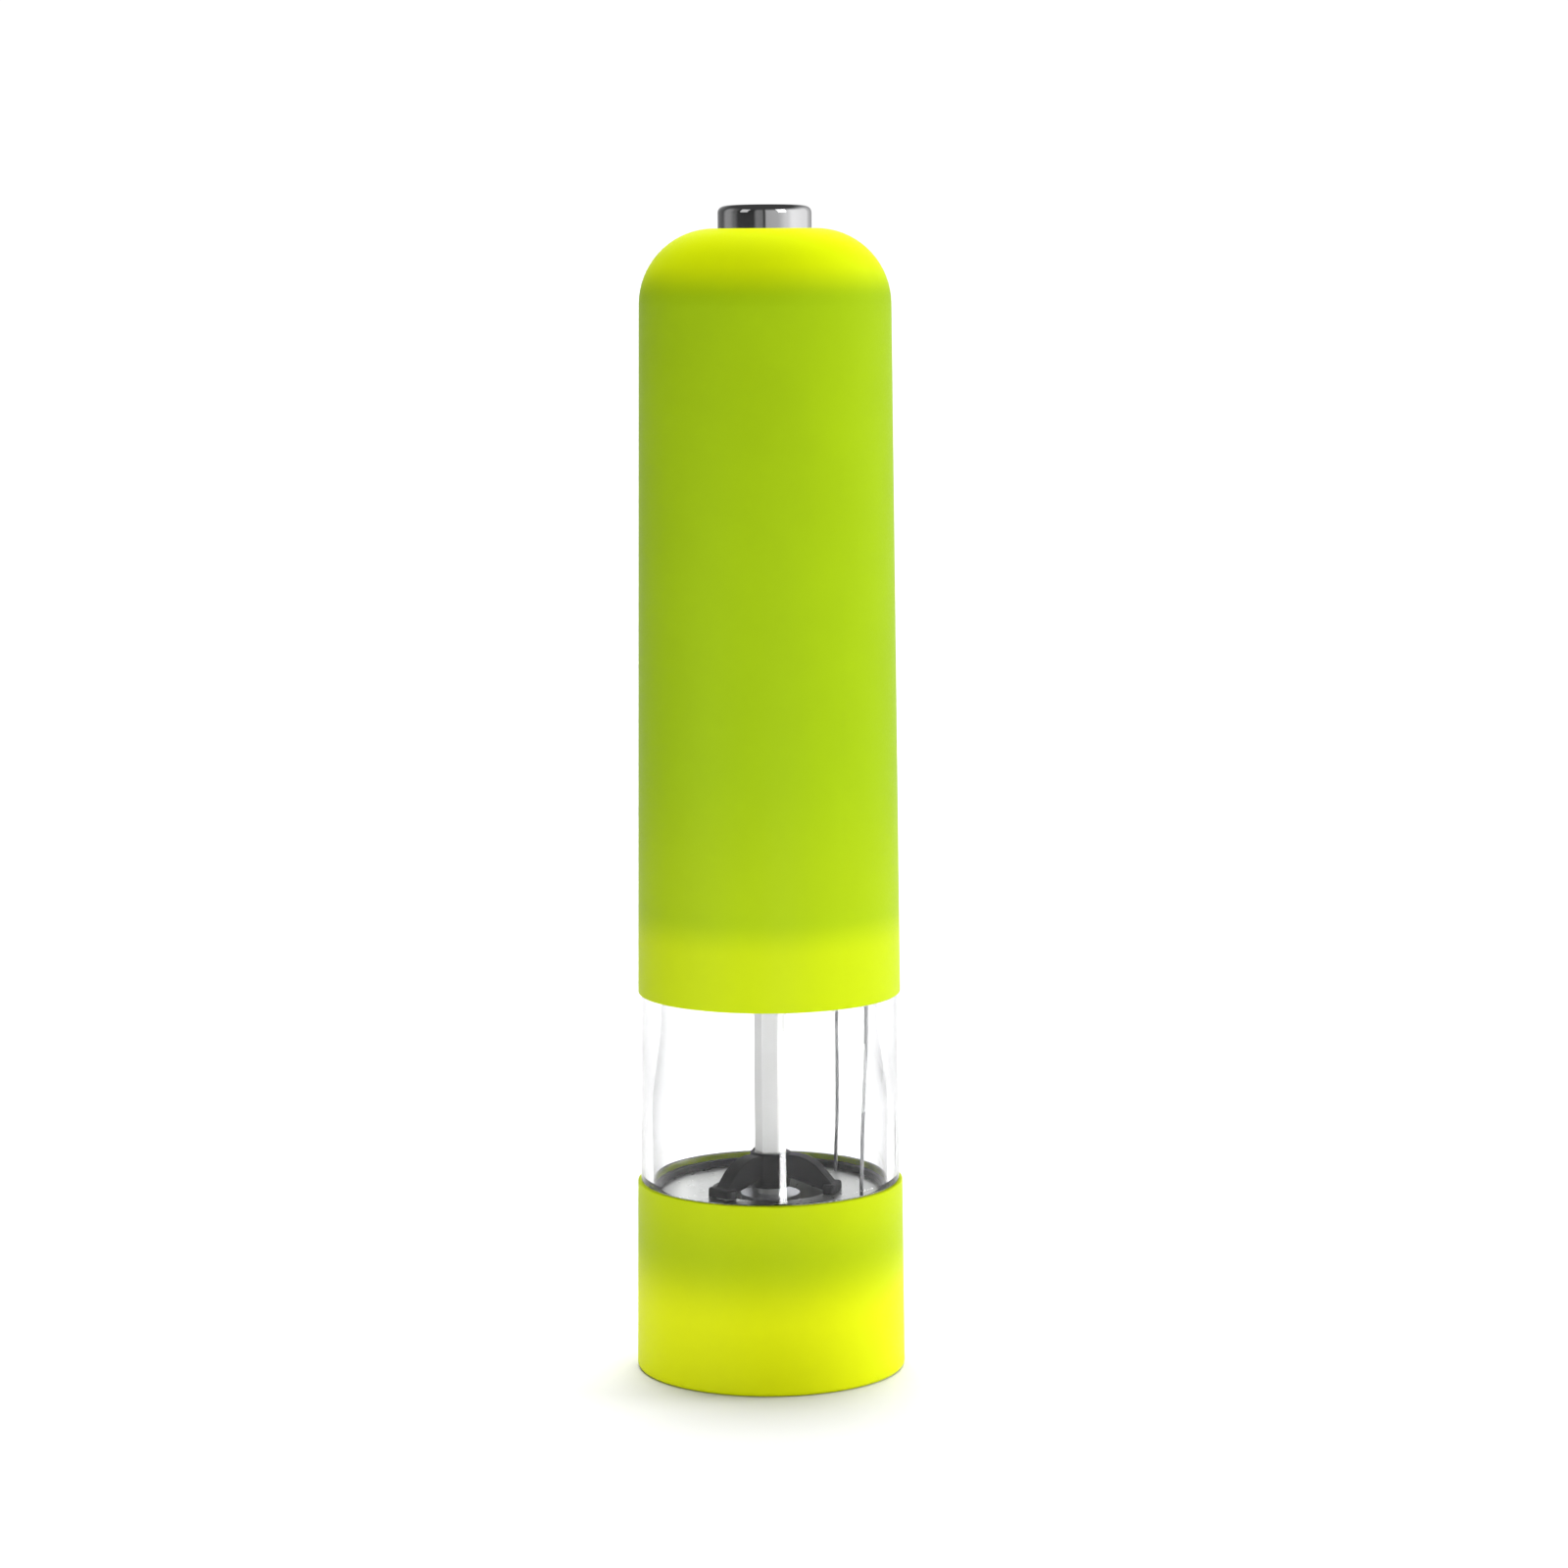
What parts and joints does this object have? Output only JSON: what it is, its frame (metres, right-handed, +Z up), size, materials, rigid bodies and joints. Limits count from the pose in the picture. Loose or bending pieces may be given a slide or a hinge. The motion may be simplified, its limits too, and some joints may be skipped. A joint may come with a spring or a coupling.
{
  "type": "battery pepper mill",
  "caption": "Slim battery pepper mill: long domed sleeve with a push button, clear pepper window, grinder base with a fineness knob underneath.",
  "frame": {"origin": "centre of the base's rim, on the surface that the mill stands on", "axes": "+Z up along the mill, towards the push button"},
  "size_m": [0.051, 0.051, 0.2194],
  "materials": {
    "lime_shell": "soft-touch matte, moulded",
    "clear_wall": "clear, polished",
    "black_plastic": "fine texture",
    "grey_plastic": "fine texture",
    "white_plastic": "satin nylon",
    "button_chrome": "polished plating",
    "shaft_steel": "drawn bar, satin",
    "plate_steel": "pressed, satin",
    "spring_steel": "drawn wire",
    "screw_steel": "zinc plated",
    "burr_ceramic": "unglazed, fine",
    "stud_brass": "turned",
    "seal_rubber": "moulded",
    "led_lens": "water clear",
    "contact_metal": "nickel-plated strip",
    "motor_steel": "zinc-plated pressing",
    "magnet_ferrite": "ground ferrite",
    "winding_copper": "enamelled copper wire",
    "battery_jacket": "printed sleeve, plain"
  },
  "bodies": {
    "root": {"base_sleeve": "lime_shell", "pepper_container": "clear_wall", "container_seal": "seal_rubber", "grinder_housing": "black_plastic", "outer_burr": "burr_ceramic", "funnel_plate": "plate_steel", "shaft_bridge": "black_plastic", "bridge_bush": "white_plastic", "lamp_contact_rods": "spring_steel", "lamp_contact_strips": "contact_metal", "lamp_led": "led_lens", "bottom_bridge": "grey_plastic", "bottom_screws": "screw_steel"},
    "shaft": {"drive_shaft": "shaft_steel", "spring_collar": "screw_steel"},
    "burr": {"inner_burr": "burr_ceramic", "burr_spring": "spring_steel"},
    "adjuster": {"thrust_washer": "screw_steel"},
    "knob": {"grind_knob": "black_plastic", "adjuster_stud": "stud_brass"},
    "power_unit": {"unit_base": "black_plastic", "lamp_contact_pads": "contact_metal", "output_bush": "white_plastic", "gearbox_housing": "white_plastic", "unit_screws": "screw_steel", "ring_gear": "white_plastic", "motor_can": "motor_steel", "motor_end_cap": "white_plastic", "motor_magnets": "magnet_ferrite", "motor_screws": "screw_steel", "motor_frame": "black_plastic", "battery_cradle": "black_plastic", "battery_contacts": "contact_metal", "battery_springs": "spring_steel", "lead_strips": "contact_metal", "push_switch": "black_plastic", "battery_1": "battery_jacket", "battery_2": "battery_jacket", "battery_3": "battery_jacket", "battery_4": "battery_jacket"},
    "output": {"output_carrier": "white_plastic"},
    "second_stage_sun": {"first_carrier": "white_plastic"},
    "rotor": {"motor_pinion": "stud_brass", "rotor_shaft": "shaft_steel", "armature": "motor_steel", "armature_coils": "winding_copper", "commutator": "winding_copper"},
    "plunger": {"switch_plunger": "white_plastic"},
    "cover": {"body_sleeve": "lime_shell", "button_retainer": "black_plastic", "retainer_screws": "screw_steel"},
    "button": {"push_button": "button_chrome", "button_stem": "black_plastic", "button_spring": "spring_steel"},
    "first_planet_a": {"first_planet_a": "white_plastic"},
    "first_planet_b": {"first_planet_b": "white_plastic"},
    "first_planet_c": {"first_planet_c": "white_plastic"},
    "second_planet_a": {"second_planet_a": "white_plastic"},
    "second_planet_b": {"second_planet_b": "white_plastic"},
    "second_planet_c": {"second_planet_c": "white_plastic"}
  },
  "joints": [
    {"name": "rotor_spin", "type": "hinge", "parent": "power_unit", "child": "rotor", "pos_m": [0, 0, 0.11], "axis": [0, 0, 1], "continuous": true},
    {"name": "first_carrier_spin", "type": "hinge", "parent": "power_unit", "child": "second_stage_sun", "pos_m": [0, 0, 0.0934], "axis": [0, 0, 1], "continuous": true},
    {"name": "output_spin", "type": "hinge", "parent": "power_unit", "child": "output", "pos_m": [0, 0, 0.0845], "axis": [0, 0, 1], "continuous": true},
    {"name": "shaft_spin", "type": "hinge", "parent": "root", "child": "shaft", "pos_m": [0, 0, 0.038], "axis": [0, 0, 1], "continuous": true},
    {"name": "burr_travel", "type": "slide", "parent": "shaft", "child": "burr", "axis": [0, 0, 1], "range_m": [0, 0.00075], "deforming": ["burr_spring"]},
    {"name": "adjuster_travel", "type": "slide", "parent": "root", "child": "adjuster", "axis": [0, 0, 1], "range_m": [0, 0.00075]},
    {"name": "knob_turn", "type": "hinge", "parent": "adjuster", "child": "knob", "pos_m": [0, 0, 0.003], "axis": [0, 0, 1], "range_deg": [0, 270]},
    {"name": "unit_lift", "type": "slide", "parent": "root", "child": "power_unit", "axis": [0, 0, 1], "range_m": [0, 0.06]},
    {"name": "cover_lift", "type": "slide", "parent": "power_unit", "child": "cover", "axis": [0, 0, 1], "range_m": [0, 0.14]},
    {"name": "button_press", "type": "slide", "parent": "cover", "child": "button", "axis": [0, 0, -1], "range_m": [0, 0.0025], "stiffness_N_per_m": 600, "springref_m": -0.002, "deforming": ["button_spring"]},
    {"name": "switch_press", "type": "slide", "parent": "power_unit", "child": "plunger", "axis": [0, 0, -1], "range_m": [0, 0.0025]},
    {"name": "first_planet_a_spin", "type": "hinge", "parent": "second_stage_sun", "child": "first_planet_a", "pos_m": [0.0075, 0, 0.0973], "axis": [0, 0, 1], "continuous": true},
    {"name": "first_planet_b_spin", "type": "hinge", "parent": "second_stage_sun", "child": "first_planet_b", "pos_m": [-0.00375, 0.0065, 0.0973], "axis": [0, 0, 1], "continuous": true},
    {"name": "first_planet_c_spin", "type": "hinge", "parent": "second_stage_sun", "child": "first_planet_c", "pos_m": [-0.00375, -0.0065, 0.0973], "axis": [0, 0, 1], "continuous": true},
    {"name": "second_planet_a_spin", "type": "hinge", "parent": "output", "child": "second_planet_a", "pos_m": [0.0075, 0, 0.0888], "axis": [0, 0, 1], "continuous": true},
    {"name": "second_planet_b_spin", "type": "hinge", "parent": "output", "child": "second_planet_b", "pos_m": [-0.00375, 0.0065, 0.0888], "axis": [0, 0, 1], "continuous": true},
    {"name": "second_planet_c_spin", "type": "hinge", "parent": "output", "child": "second_planet_c", "pos_m": [-0.00375, -0.0065, 0.0888], "axis": [0, 0, 1], "continuous": true}
  ],
  "couplings": [
    {"joint": "first_carrier_spin", "follows": "rotor_spin", "ratio": 0.2},
    {"joint": "output_spin", "follows": "rotor_spin", "ratio": 0.04},
    {"joint": "shaft_spin", "follows": "rotor_spin", "ratio": 0.04},
    {"joint": "burr_travel", "follows": "adjuster_travel", "ratio": 1},
    {"joint": "knob_turn", "follows": "adjuster_travel", "rad_per_m": 6283.2},
    {"joint": "switch_press", "follows": "button_press", "ratio": 1},
    {"joint": "first_planet_a_spin", "follows": "rotor_spin", "ratio": -0.53333},
    {"joint": "first_planet_b_spin", "follows": "rotor_spin", "ratio": -0.53333},
    {"joint": "first_planet_c_spin", "follows": "rotor_spin", "ratio": -0.53333},
    {"joint": "second_planet_a_spin", "follows": "rotor_spin", "ratio": -0.10667},
    {"joint": "second_planet_b_spin", "follows": "rotor_spin", "ratio": -0.10667},
    {"joint": "second_planet_c_spin", "follows": "rotor_spin", "ratio": -0.10667}
  ]
}
